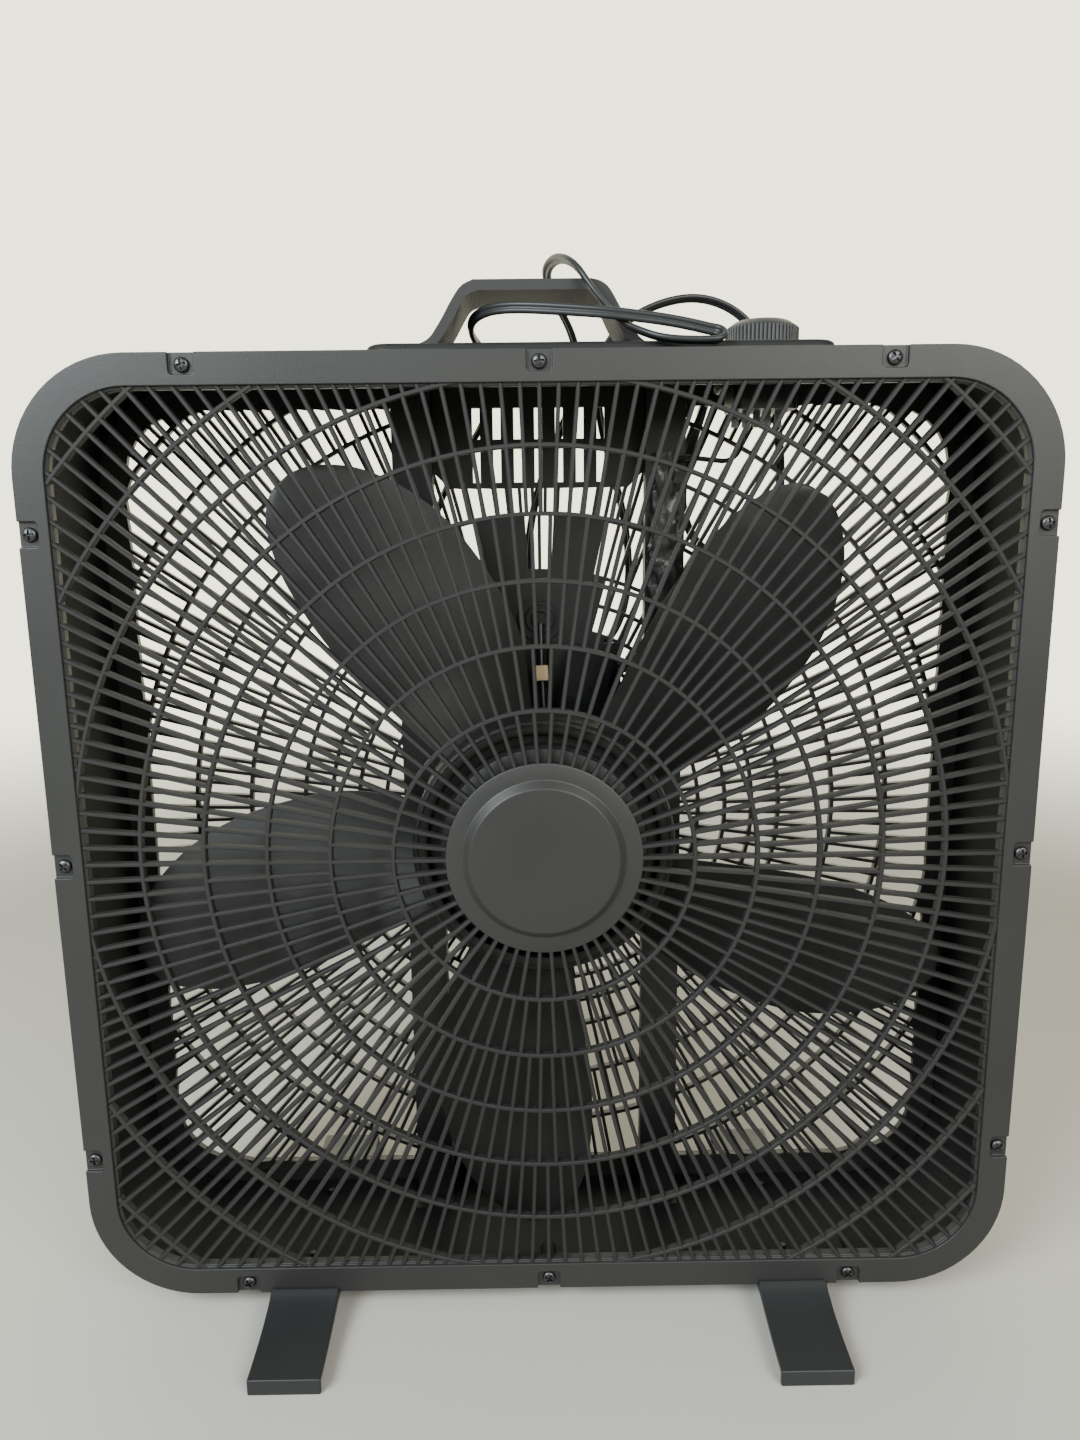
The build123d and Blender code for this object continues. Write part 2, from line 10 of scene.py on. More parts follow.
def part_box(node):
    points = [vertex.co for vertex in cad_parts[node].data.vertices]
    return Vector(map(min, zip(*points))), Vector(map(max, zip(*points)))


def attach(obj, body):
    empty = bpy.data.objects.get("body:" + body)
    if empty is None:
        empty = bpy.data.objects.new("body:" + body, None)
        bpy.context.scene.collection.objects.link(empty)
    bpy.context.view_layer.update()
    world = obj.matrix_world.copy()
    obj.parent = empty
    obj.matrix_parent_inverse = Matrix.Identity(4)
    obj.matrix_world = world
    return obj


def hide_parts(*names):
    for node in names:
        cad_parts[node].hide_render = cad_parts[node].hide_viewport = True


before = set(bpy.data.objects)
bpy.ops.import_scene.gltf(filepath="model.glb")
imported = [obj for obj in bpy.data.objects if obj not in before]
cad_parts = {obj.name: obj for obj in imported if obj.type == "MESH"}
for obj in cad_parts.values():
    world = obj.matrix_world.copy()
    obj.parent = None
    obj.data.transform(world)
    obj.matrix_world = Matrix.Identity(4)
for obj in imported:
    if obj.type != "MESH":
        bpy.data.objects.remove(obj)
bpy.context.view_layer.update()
random.seed(7)
mm = 0.001

grilleLow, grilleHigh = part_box("front_grille")
discProud = 3.6 * mm  # how far the centre disc stands in front of the bezel
frontY = grilleLow[1] + discProud  # face of the bezel
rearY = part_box("case_shell")[1][1]
caseTop = grilleHigh[2]
axisZ = (grilleLow[2] + grilleHigh[2]) / 2
halfW = (grilleHigh[0] - grilleLow[0]) / 2
halfH = (grilleHigh[2] - grilleLow[2]) / 2
print("frame", [round(v, 4) for v in (frontY, rearY, caseTop, axisZ, halfW, halfH)])

view = {"place": (-0.0055, -0.5903, 0.4615), "pitch": 11.17, "yaw": 0.415, "roll": -0.66, "lens": 26.0,
        "sensor": 36, "clip": 0.02}


def makeCamera():
    data = bpy.data.cameras.new("camera")
    camera = bpy.data.objects.new("camera", data)
    bpy.context.collection.objects.link(camera)
    pitch, yaw, roll = (math.radians(view[k]) for k in ("pitch", "yaw", "roll"))
    ahead = Vector((math.sin(yaw) * math.cos(pitch), math.cos(yaw) * math.cos(pitch), -math.sin(pitch)))
    level = Vector((math.cos(yaw), -math.sin(yaw), 0))
    upright = level.cross(ahead)
    right = level * math.cos(roll) + upright * math.sin(roll)
    up = upright * math.cos(roll) - level * math.sin(roll)
    turn = Matrix((right, up, -ahead)).transposed().to_4x4()
    camera.matrix_world = Matrix.Translation(Vector(view["place"])) @ turn
    data.lens = view["lens"]
    data.sensor_width = view["sensor"]
    data.clip_start = view["clip"]
    bpy.context.scene.camera = camera


makeCamera()
print("camera ready")


class Value:
    def __init__(self, shader, socket):
        self.shader = shader
        self.socket = socket

    def maths(self, operation, a, b):
        return self.shader.node("ShaderNodeMath", {"operation": operation}, {0: a, 1: b})

    def __add__(self, other):
        return self.maths("ADD", self, other)

    def __radd__(self, other):
        return self.maths("ADD", other, self)

    def __sub__(self, other):
        return self.maths("SUBTRACT", self, other)

    def __mul__(self, other):
        return self.maths("MULTIPLY", self, other)


class Shader:
    def __init__(self, owner, surface="Principled BSDF"):
        owner.use_nodes = True
        self.owner = owner  # the material or world that the nodes belong to
        self.tree = owner.node_tree
        self.surface = self.tree.nodes[surface]

    def node(self, kind, settings=None, sockets=None, output=0):
        made = self.tree.nodes.new(kind)
        for key, value in (settings or {}).items():
            if key == "stops":
                self.setStops(made, value)
            else:
                setattr(made, key, value)
        for key, value in (sockets or {}).items():
            self.feed(made.inputs[key], value)
        return Value(self, made.outputs[output])

    def setStops(self, made, stops):
        ramp = made.color_ramp
        while len(ramp.elements) < len(stops):
            ramp.elements.new(1.0)
        for element, (place, colour) in zip(ramp.elements, stops):
            element.position = place
            element.color = (*colour, 1.0)

    def feed(self, socket, value):
        if isinstance(value, Value):
            self.tree.links.new(value.socket, socket)
        else:
            socket.default_value = value

    def set(self, **values):
        for key, value in values.items():
            self.feed(self.surface.inputs[key.replace("_", " ")], value)

    def place(self, stretch=(1, 1, 1)):
        spot = self.node("ShaderNodeTexCoord", output="Object")
        return self.node("ShaderNodeMapping", {}, {"Vector": spot, "Scale": stretch})

    def cloud(self, size, detail=3.0, roughness=0.5, at=None):
        sockets = {"Scale": 1 / size, "Detail": detail, "Roughness": roughness}
        sockets["Vector"] = at if at is not None else self.place()
        return self.node("ShaderNodeTexNoise", {}, sockets)

    def blendColour(self, factor, a, b):
        ends = {0: factor, 6: (*a, 1.0), 7: (*b, 1.0)}  # the colour sockets of a Mix node
        return self.node("ShaderNodeMix", {"data_type": "RGBA"}, ends, 2)

    def relief(self, height, distance, strength=1.0, under=None):
        sockets = {"Height": height, "Distance": distance, "Strength": strength}
        if under is not None:
            sockets["Normal"] = under
        return self.node("ShaderNodeBump", {}, sockets)


def mouldedPlastic(name, dark, light, roughness, grain, sheen=0.36):
    s = Shader(bpy.data.materials.new(name))
    wide = s.cloud(0.11, 2.0)  # slow shade over a panel
    speck = s.cloud(0.0011, 2.0, 0.6)
    fine = s.cloud(0.00045, 2.0, 0.6)  # spark-eroded mould skin
    tone = s.node("ShaderNodeValToRGB", {"stops": [(0.3, dark), (0.72, light)]}, {0: wide * 0.75 + speck * 0.25})
    s.set(Base_Color=tone, Roughness=roughness + (wide - 0.5) * 0.16 + (speck - 0.5) * 0.08)
    s.set(Normal=s.relief(fine, grain, 0.55, s.relief(speck, grain * 1.4, 0.35)))
    s.set(IOR=1.49, Specular_IOR_Level=sheen)
    return s.owner


def bladePlastic():
    s = Shader(bpy.data.materials.new("bladePlastic"))
    flow = s.cloud(0.05, 2.0, 0.5, s.place((1.0, 3.0, 1.0)))  # faint flow waves of a thin moulding
    speck = s.cloud(0.0016, 3.0, 0.6)
    stops = [(0.3, (0.0133, 0.0132, 0.0131)), (0.7, (0.0196, 0.0193, 0.0191))]
    tone = s.node("ShaderNodeValToRGB", {"stops": stops}, {0: flow * 0.6 + speck * 0.4})
    s.set(Base_Color=tone, Roughness=0.38 + flow * 0.14 + (speck - 0.5) * 0.07, IOR=1.5, Specular_IOR_Level=0.32)
    s.set(Normal=s.relief(flow, 0.0007, 0.5, s.relief(speck, 0.00006, 0.4)))
    return s.owner


def platedSteel(name, colour, roughness):
    s = Shader(bpy.data.materials.new(name))
    streak = s.cloud(0.0012, 4.0, 0.65)
    spots = s.cloud(0.004, 3.0, 0.6)
    worn = tuple(min(1.0, c * 1.7 + 0.02) for c in colour)
    s.set(Base_Color=s.blendColour(spots * streak * 1.6, colour, worn), Metallic=1.0)
    s.set(Roughness=roughness + (streak - 0.5) * 0.22, Normal=s.relief(streak, 0.00005, 0.4))
    return s.owner


def paintedSteel(name):
    s = Shader(bpy.data.materials.new(name))
    peel = s.cloud(0.0022, 2.0, 0.5)
    wide = s.cloud(0.06, 2.0)
    s.set(Base_Color=s.blendColour(wide, (0.006, 0.0063, 0.0075), (0.013, 0.0135, 0.015)), IOR=1.5)
    s.set(Roughness=0.33 + wide * 0.16, Normal=s.relief(peel, 0.00012, 0.45))
    return s.owner


def cordSkin(name, dark, light, roughness):
    s = Shader(bpy.data.materials.new(name))
    wide = s.cloud(0.03, 2.0)
    scuff = s.cloud(0.0009, 3.0, 0.7)
    s.set(Base_Color=s.blendColour(wide * 0.6 + scuff * 0.4, dark, light), IOR=1.5, Specular_IOR_Level=0.32)
    s.set(Roughness=roughness + (wide - 0.5) * 0.14 + (scuff - 0.5) * 0.1)
    s.set(Normal=s.relief(scuff, 0.00005, 0.35))
    return s.owner


def sleeveFilm():
    s = Shader(bpy.data.materials.new("sleeveFilm"))
    crease = s.cloud(0.006, 4.0, 0.6, s.place((2.2, 2.2, 0.7)))
    # lighter on the crests of the same crease noise that bumps the film: painted sheen on the crumples
    stops = [(0.35, (0.01, 0.0105, 0.011)), (0.78, (0.04, 0.0425, 0.0415))]
    tone = s.node("ShaderNodeValToRGB", {"stops": stops}, {0: crease})
    s.set(Base_Color=tone, Roughness=0.24 + crease * 0.24, Coat_Weight=0.25, IOR=1.5)
    s.set(Normal=s.relief(crease, 0.0008, 0.6))
    return s.owner


def tape(name, dark, light, weave, roughness):
    s = Shader(bpy.data.materials.new(name))
    fibre = s.cloud(weave, 3.0, 0.7, s.place((1.0, 1.0, 4.0)))
    wide = s.cloud(0.008, 2.0)
    s.set(Base_Color=s.blendColour(fibre * 0.6 + wide * 0.4, dark, light), Roughness=roughness + fibre * 0.15)
    s.set(Normal=s.relief(fibre, 0.0002, 0.6))
    return s.owner


def laminatedSteel():
    s = Shader(bpy.data.materials.new("laminatedSteel"))
    leaf = s.node("ShaderNodeTexWave", {"wave_type": "BANDS", "bands_direction": "Y"},
                  {"Vector": s.place(), "Scale": 320.0, "Distortion": 0.4, "Detail": 1.0}, 1)
    wide = s.cloud(0.01, 3.0)
    s.set(Base_Color=s.blendColour(wide, (0.05, 0.05, 0.053), (0.12, 0.11, 0.1)), Metallic=0.85)
    s.set(Roughness=0.42 + leaf * 0.15, Normal=s.relief(leaf, 0.0002, 0.6))
    return s.owner


casePlastic = mouldedPlastic("casePlastic", (0.0095, 0.0101, 0.0106), (0.0138, 0.0147, 0.0153), 0.6, 0.00009, 0.16)
# a lighter copy of the case plastic for the bow: the extra lightness is painted light, standing in for the sheen on
# its top face
handlePlasticPaintedLight = mouldedPlastic("handlePlasticPaintedLight", (0.026, 0.027, 0.027), (0.0345, 0.0355, 0.0355), 0.66, 0.00009, 0.14)
charcoal = ((0.0145, 0.0148, 0.0147), (0.0195, 0.0199, 0.0196))  # darkest and lightest tone of the front
grillePlastic = mouldedPlastic("grillePlastic", *charcoal, 0.45, 0.00007)
latticePlastic = mouldedPlastic("latticePlastic", *charcoal, 0.56, 0.00007, 0.2)  # duller, so thin bars stay dark
footPlastic = mouldedPlastic("footPlastic", (0.013, 0.0142, 0.0148), (0.0185, 0.0198, 0.0206), 0.42, 0.0001)
knobPlastic = mouldedPlastic("knobPlastic", (0.015, 0.016, 0.017), (0.02, 0.0214, 0.0226), 0.46, 0.00006)
switchPlastic = mouldedPlastic("switchPlastic", (0.012, 0.012, 0.013), (0.02, 0.02, 0.021), 0.4, 0.00006)
capacitorPlastic = mouldedPlastic("capacitorPlastic", (0.006, 0.0066, 0.0085), (0.01, 0.0107, 0.013), 0.22, 0.00003)
fanPlastic = bladePlastic()
screwSteel = platedSteel("screwSteel", (0.042, 0.044, 0.046), 0.4)
brightSteel = platedSteel("brightSteel", (0.52, 0.52, 0.5), 0.24)
bronze = platedSteel("bronze", (0.42, 0.28, 0.12), 0.45)
brass = platedSteel("brass", (0.68, 0.52, 0.24), 0.22)
dullTin = platedSteel("dullTin", (0.12, 0.12, 0.115), 0.5)
blackPaint = paintedSteel("blackPaint")
cordPvc = cordSkin("cordPvc", (0.011, 0.0125, 0.0135), (0.018, 0.02, 0.0215), 0.42)
leadPvc = cordSkin("leadPvc", (0.008, 0.008, 0.009), (0.014, 0.014, 0.016), 0.28)
filmPlastic = sleeveFilm()
coilTape = tape("coilTape", (0.005, 0.0055, 0.008), (0.014, 0.015, 0.02), 0.002, 0.35)
tanTape = tape("tanTape", (0.46, 0.34, 0.18), (0.7, 0.56, 0.34), 0.0012, 0.7)
coreSteel = laminatedSteel()

nodeFinish = {
    "case_shell": casePlastic, "rear_grille": grillePlastic, "left_strut": blackPaint, "right_strut": blackPaint,
    "motor_bracket": blackPaint, "front_end_bell": blackPaint, "rear_end_bell": blackPaint,
    "front_bearing": bronze, "rear_bearing": bronze, "stator_core": coreSteel, "rotor_core": coreSteel,
    "stator_windings": coilTape, "motor_shaft": brightSteel, "motor_bolts": screwSteel, "strut_screws": screwSteel,
    "handle_screws": screwSteel, "foot_screws": screwSteel, "rear_screws": screwSteel,
    "bezel_screws": screwSteel, "front_grille": grillePlastic, "run_capacitor": capacitorPlastic,
    "motor_leads": leadPvc, "motor_lead": leadPvc, "lead_sleeve": filmPlastic, "lead_splice": tanTape,
    "rotary_switch": switchPlastic, "switch_terminals": dullTin, "switch_shaft": switchPlastic,
    "switch_nut": brightSteel, "strain_relief": switchPlastic, "power_cord": cordPvc, "plug_body": cordPvc,
    "plug_blades": brass, "fan_blade": fanPlastic, "blade_clip": brightSteel, "speed_knob": knobPlastic,
    "top_handle": casePlastic, "left_foot": footPlastic, "right_foot": footPlastic,
}


def dressNodes():
    for name, finish in nodeFinish.items():
        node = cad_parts[name]
        for entry in node.material_slots:
            entry.material = finish
        if not node.material_slots:
            node.data.materials.append(finish)


dressNodes()
print("materials ready")


def linkMesh(name, verts, faces, merge=0.0):
    mesh = bpy.data.meshes.new(name)
    mesh.from_pydata([tuple(v) for v in verts], [], faces)
    sheet = bmesh.new()
    sheet.from_mesh(mesh)
    if merge:
        bmesh.ops.remove_doubles(sheet, verts=sheet.verts, dist=merge)
    bmesh.ops.recalc_face_normals(sheet, faces=sheet.faces)
    sheet.to_mesh(mesh)
    sheet.free()
    piece = bpy.data.objects.new(name, mesh)
    bpy.context.collection.objects.link(piece)
    return piece


def smoothTo(mesh, angle):
    for face in mesh.polygons:
        face.use_smooth = True
    mesh.set_sharp_from_angle(angle=math.radians(angle))


def makePiece(name, verts, faces, finish, body="frame", stands=(), smooth=True):
    piece = linkMesh(name, verts, faces, merge=2e-6)
    piece.data.materials.append(finish)
    if smooth:
        smoothTo(piece.data, 32)
    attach(piece, body)
    if stands:
        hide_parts(*stands)
    return piece


def settle(piece):  # applies the modifiers
    graph = bpy.context.evaluated_depsgraph_get()
    mesh = bpy.data.meshes.new_from_object(piece.evaluated_get(graph), depsgraph=graph)
    piece.modifiers.clear()
    piece.data = mesh
    return piece


def roundEdges(piece, width, segments=3, angle=35):
    soft = piece.modifiers.new("soft", "BEVEL")
    soft.width = width
    soft.segments = segments
    soft.limit_method = "ANGLE"
    soft.angle_limit = math.radians(angle)
    settle(piece)
    smoothTo(piece.data, 60)
    level = piece.modifiers.new("level", "WEIGHTED_NORMAL")
    level.weight = 90
    level.keep_sharp = True
    return settle(piece)


def cutWith(piece, cutterVerts, cutterFaces):
    cutter = linkMesh("cutter", cutterVerts, cutterFaces)
    cut = piece.modifiers.new("cut", "BOOLEAN")
    cut.object = cutter
    cut.operation = "DIFFERENCE"
    cut.solver = "EXACT"
    settle(piece)
    bpy.data.objects.remove(cutter)


def roundedRing(halfWide, halfTall, radius):
    steps = 16
    points = []
    for corner, (sx, sz) in enumerate(((1, 1), (-1, 1), (-1, -1), (1, -1))):
        for i in range(steps + 1):
            a = math.radians(90 * corner + 90 * i / steps)
            points.append((sx * (halfWide - radius) + radius * math.cos(a),
                           sz * (halfTall - radius) + radius * math.sin(a)))
    return points


def loops(rows):  # a closed skin through rings of the same number of points
    verts = [p for row in rows for p in row]
    n = len(rows[0])
    faces = []
    for i in range(len(rows) - 1):
        for k in range(n):
            m = (k + 1) % n
            faces.append((i * n + k, i * n + m, (i + 1) * n + m, (i + 1) * n + k))
    return verts, faces


def prism(outline, toPoint, low, high):
    n = len(outline)
    verts = [toPoint(p, low) for p in outline] + [toPoint(p, high) for p in outline]
    faces = [tuple(range(n)), tuple(range(2 * n - 1, n - 1, -1))]
    faces += [(k, k + n, (k + 1) % n + n, (k + 1) % n) for k in range(n)]
    return verts, faces


def circle(steps):
    return [(math.cos(2 * math.pi * k / steps), math.sin(2 * math.pi * k / steps)) for k in range(steps)]


def lathe(profile, steps, cz=axisZ):  # turned about a line along Y
    return loops([[(r * c, y, cz + r * s) for c, s in circle(steps)] for r, y in profile])


def capped(verts, faces, steps):
    last = len(verts) - steps
    return verts, faces + [tuple(range(steps - 1, -1, -1)), tuple(range(last, last + steps))]


def joinParts(parts):
    verts = []
    faces = []
    for v, f in parts:
        shift = len(verts)
        verts += v
        faces += [tuple(i + shift for i in face) for face in f]
    return verts, faces


def reach(angle, wide, tall, radius):  # from the centre of a rounded rectangle to its edge
    c = abs(math.cos(angle))
    s = abs(math.sin(angle))
    r = min(wide / max(c, 1e-9), tall / max(s, 1e-9))
    cx = wide - radius
    cz = tall - radius
    if r * c > cx and r * s > cz:
        along = cx * c + cz * s
        r = along + math.sqrt(max(0.0, along * along - cx * cx - cz * cz + radius * radius))
    return r


def smoothLine(points, steps):  # Catmull-Rom
    points = [np.array(p, float) for p in points]
    ends = [2 * points[0] - points[1]] + points + [2 * points[-1] - points[-2]]
    out = []
    for i in range(1, len(ends) - 2):
        a, b, c, d = ends[i - 1:i + 3]
        for k in range(steps):
            t = k / steps
            out.append(0.5 * (2 * b + (c - a) * t + (2 * a - 5 * b + 4 * c - d) * t * t
                              + (3 * b - a - 3 * c + d) * t ** 3))
    out.append(points[-1])
    return out


cordLook = {"width": 6.0, "thick": 3.1, "length": 1.79, "exitDepth": 25.0, "plugX": -20.0}
cordRoute = [  # in mm, from the strain relief, over the top and round the handle, down to the plug
    (106, rearY / mm + cordLook["exitDepth"], 532), (106, 91, 531), (103, 98, 517), (94, 94, 492), (90, 83, 461),
    (104, 74, 435), (132, 69, 434), (149, 69, 458), (150, 68, 490), (145, 68, 524),
    (139, 68, 556), (124, 67, 578), (98, 63, 588), (70, 59, 583), (46, 59, 569),
    (36, 64, 548), (37, 67, 520), (45, 67, 490), (54, 67, 456), (57, 67, 418),
    (48, 68, 385), (24, 69, 368), (2, 68, 384), (-7, 67, 414), (-7, 66, 448),
    (1, 66, 482), (14, 65, 512), (26, 63, 540), (22, 55, 564), (10, 40, 582),
    (4, 22, 593), (10, 0, 596), (19, -24, 588), (28, -31, 573), (42, -32, 557),
    (54, -43, 549.8), (63, -47.4, 546.6), (75, -49.2, 545.5), (87, -49.4, 545.4), (90.1, -48.6, 546),
    (92, -46.5, 547.6), (92, -43.9, 549.6), (90.1, -41.8, 551.2), (87, -41, 551.8), (76, -40.2, 554.6),
    (62, -40, 557.2), (50, -40, 558.7), (36, -40, 560.5), (19, -36, 562.5), (-2, -30, 565),
    (-18, -23, 566.5), (-29, -15, 566), (-36, -4, 563), (-36.5, 10, 558.5), (-32, 26, 554),
    (-28, 41, 551), (-26.5, 56, 546), (-27.5, 64.5, 533), (-33, 68.5, 517), (-44, 70, 500),
    (-60, 70, 474), (-72, 71, 438), (-77, 73, 394), (-75, 76, 346), (-78, 80, 296),
    (-74, 84, 246), (-77, 87, 196), (-73, 89, 146), (-76, 91, 100), (-74, 92, 64),
    (-66, 94, 34), (-52, 94.5, 14), (-36, 95, 8.4), (cordLook["plugX"], 95, 8),
]


def cordLine(points):
    curve = bpy.data.curves.new("route", "CURVE")
    curve.dimensions = "3D"
    curve.resolution_u = 12
    line = curve.splines.new("NURBS")
    line.points.add(len(points) - 1)
    for spot, p in zip(line.points, points):
        spot.co = (p[0] * mm, p[1] * mm, p[2] * mm, 1.0)
    line.order_u = 3
    line.use_endpoint_u = True
    holder = bpy.data.objects.new("route", curve)
    bpy.context.collection.objects.link(holder)
    graph = bpy.context.evaluated_depsgraph_get()
    mesh = bpy.data.meshes.new_from_object(holder.evaluated_get(graph), depsgraph=graph)
    path = [Vector(v.co) for v in mesh.vertices]
    bpy.data.objects.remove(holder)
    bpy.data.meshes.remove(mesh)
    return path


def twinSection(width, thick):  # two round cores with a groove between them
    steps = 11
    r = thick / 2
    off = width / 2 - r
    points = []
    for side in (1, -1):
        for k in range(steps):
            a = math.radians(-138 + 276 * k / (steps - 1))
            points.append((side * (off + r * math.cos(a)), side * r * math.sin(a)))
    return points


def sweepSection(path, section, across):
    rows = []
    side = Vector(across)
    for i, p in enumerate(path):
        ahead = (path[min(i + 1, len(path) - 1)] - path[max(i - 1, 0)]).normalized()
        side = (side - ahead * side.dot(ahead)).normalized()
        up = ahead.cross(side)
        rows.append([tuple(p + side * u + up * v) for u, v in section])
    return capped(*loops(rows), len(section))


def makeCord():
    path = cordLine(cordRoute)
    section = twinSection(cordLook["width"] * mm, cordLook["thick"] * mm)
    verts, faces = sweepSection(path, section, (1, 0, 0))
    cord = makePiece("powerCord", verts, faces, cordPvc, "frame", ["power_cord"])
    print("cord length", round(sum((b - a).length for a, b in zip(path, path[1:])), 3))


plugLook = {
    "squareness": 0.55,
    "shape": ((0, 0.4, 0.5), (0.01, 0.43, 0.52), (0.1, 0.42, 0.5), (0.13, 0.36, 0.44), (0.16, 0.42, 0.5),
              (0.2, 0.36, 0.44), (0.23, 0.44, 0.52), (0.3, 0.62, 0.74), (0.4, 0.8, 0.86), (0.55, 0.86, 0.9),
              (0.8, 0.97, 0.98), (0.86, 1.0, 1.0), (0.97, 1.0, 1.0), (1.0, 0.95, 0.94)),  # along, wide, tall
}


def makePlug():
    low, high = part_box("plug_body")
    midY = (low[1] + high[1]) / 2
    midZ = (low[2] + high[2]) / 2
    tall = (high[2] - low[2]) / 2
    wide = (high[1] - low[1]) / 2
    steps = 40

    def squared(c):  # between a circle and a square
        return math.copysign(abs(c) ** plugLook["squareness"], c)

    rows = [[(low[0] + x * (high[0] - low[0]), midY + w * wide * squared(c), midZ + h * tall * squared(s))
             for c, s in circle(steps)] for x, w, h in plugLook["shape"]]
    verts, faces = capped(*loops(rows), steps)
    return makePiece("plugMoulding", verts, faces, cordPvc, "frame", ["plug_body"])


plug = makePlug()  # the cord carries it
makeCord()
print("cord ready")


grilleLook = {
    "bezel": 16.0, "corner": 60.0, "ribWide": 2.1, "ringWide": 2.3, "ribFront": 1.2, "ribDeep": 4.6,
    "firstRing": 82.0, "ringPitch": 34.0, "disc": 53.7, "counts": (54, 74, 118, 118, 160, 160, 208, 208, 208),
    "chamfer": 0.45, "lip": 1.6, "lipSink": 2.2, "bezelDeep": 7.5, "edgeRound": 0.55,
    "pocketWide": 13.0, "pocketReach": 4.8, "pocketBend": 2.2, "pocketSink": 2.2,
    "screwAcross": 176.4, "sideInset": 5.6, "topInset": 6.0,
}


def ribSection(width, depth, chamfer):
    h = width / 2
    return [(-h, depth), (-h, chamfer), (-h + chamfer, 0), (h - chamfer, 0), (h, chamfer), (h, depth)]


def barSegment(a, r0, r1, front, width, depth, chamfer):
    c, s = math.cos(a), math.sin(a)
    rows = []
    for r in (r0, r1):
        rows.append([(r * c - u * s, front + v, axisZ + r * s + u * c) for u, v in ribSection(width, depth, chamfer)])
    return capped(*loops(rows), 6)


def ringArc(r, front, width, depth, chamfer, limit):
    steps = max(120, int(r / mm * 1.5))
    keep = [limit(2 * math.pi * k / steps) > r - width / 2 for k in range(steps)]
    parts = []
    section = ribSection(width, depth, chamfer)

    def cross(k):
        a = 2 * math.pi * k / steps
        return [((r + u) * math.cos(a), front + v, axisZ + (r + u) * math.sin(a)) for u, v in section]

    if all(keep):
        rows = [cross(k) for k in range(steps)]
        rows.append(rows[0])
        return [loops(rows)]
    for k in range(steps):
        if keep[k] and keep[(k + 1) % steps]:
            parts.append(loops([cross(k), cross(k + 1)]))
    return parts


def screwSpots():  # across, up, and which way the pocket opens
    across = grilleLook["screwAcross"] * mm
    sideX = halfW - grilleLook["sideInset"] * mm
    topZ = halfH - grilleLook["topInset"] * mm
    spots = [(x, z, 0, math.copysign(1, z)) for x in (-across, 0, across) for z in (-topZ, topZ)]
    return spots + [(x, z, math.copysign(1, x), 0) for x in (-sideX, sideX) for z in (-across, 0, across)]


def makeBezel():
    look = grilleLook
    rim = look["bezel"] * mm
    corner = look["corner"] * mm
    lip = look["lip"] * mm
    step = frontY + look["lipSink"] * mm
    back = frontY + look["bezelDeep"] * mm
    outer = roundedRing(halfW, halfH, corner)
    inner = roundedRing(halfW - rim, halfH - rim, corner - rim)
    deeper = roundedRing(halfW - rim - lip, halfH - rim - lip, corner - rim - lip)
    profile = ((outer, frontY), (inner, frontY), (inner, step), (deeper, step), (deeper, back), (outer, back),
               (outer, frontY))
    verts, faces = loops([[(x, y, axisZ + z) for x, z in ring] for ring, y in profile])
    bezel = makePiece("bezelFrame", verts, faces, grillePlastic, "frame", ["front_grille"])
    half = look["pocketWide"] / 2 * mm
    deep = look["pocketReach"] * mm
    bend = look["pocketBend"] * mm
    outline = [(-half, 12 * mm)]  # well past the bezel's edge
    for k in range(6):
        a = math.radians(180 + 18 * k)
        outline.append((-half + bend + bend * math.cos(a), -deep + bend + bend * math.sin(a)))
    outline += [(-u, v) for u, v in outline[::-1]]
    for x, z, outX, outZ in screwSpots():
        placed = [(x + (u if outZ else outX * v), axisZ + z + (outZ * v if outZ else u)) for u, v in outline]
        cutVerts, cutFaces = prism(placed, lambda p, y: (p[0], y, p[1]), frontY - 2 * mm,
                                   frontY + look["pocketSink"] * mm)
        cutWith(bezel, cutVerts, cutFaces)
    roundEdges(bezel, look["edgeRound"] * mm, 2, 40)


def makeLattice():
    look = grilleLook
    rim = look["bezel"] * mm

    def limit(a):
        return reach(a, halfW - rim, halfH - rim, look["corner"] * mm - rim)

    front = frontY + look["ribFront"] * mm
    deep = look["ribDeep"] * mm
    chamfer = look["chamfer"] * mm
    rings = [(look["firstRing"] + i * look["ringPitch"]) * mm for i in range(8)]
    edges = [(look["disc"] - 0.2) * mm] + rings + [9.0]  # where each band of ribs starts; the last has no ring
    parts = []
    for band, count in enumerate(look["counts"]):
        for i in range(count):
            a = 2 * math.pi * i / count
            end = min(edges[band + 1], limit(a) + 0.6 * mm)
            if end - edges[band] > 1.2 * mm:
                parts.append(barSegment(a, edges[band], end, front, look["ribWide"] * mm, deep, chamfer))
    for r in rings:
        parts += ringArc(r, front - 0.15 * mm, look["ringWide"] * mm, deep, chamfer, limit)
    verts, faces = joinParts(parts)
    makePiece("frontLattice", verts, faces, latticePlastic, "frame", ["front_grille"],
              smooth=False)


def makeDisc():
    flat = frontY + 1.0 * mm
    raised = frontY - 3.2 * mm
    profile = [(0.0, raised), (20.0, raised), (40.0, raised + 0.04 * mm), (40.6, raised + 0.12 * mm),
               (41.1, raised + 0.42 * mm), (44.2, flat - 0.36 * mm), (44.6, flat - 0.1 * mm), (45.1, flat),
               (52.8, flat), (53.5, flat + 0.3 * mm), (53.7, flat + 0.8 * mm), (53.7, flat + 4.6 * mm),
               (51.6, flat + 4.6 * mm), (51.6, flat + 2.0 * mm), (0.0, flat + 2.0 * mm)]
    verts, faces = lathe([(r * mm, y) for r, y in profile], 180)
    makePiece("centreDisc", verts, faces, grillePlastic, "frame", ["front_grille"])


screwLook = {
    "sink": 0.7, "slotHalf": 0.56, "slotReach": 2.6, "slotDeep": 0.6, "edgeRound": 0.07,
    "head": [(0.0, -0.95), (1.2, -0.92), (2.3, -0.72), (3.1, -0.35), (3.65, 0.2), (3.8, 0.7), (3.8, 1.4), (0.0, 1.4)],
}


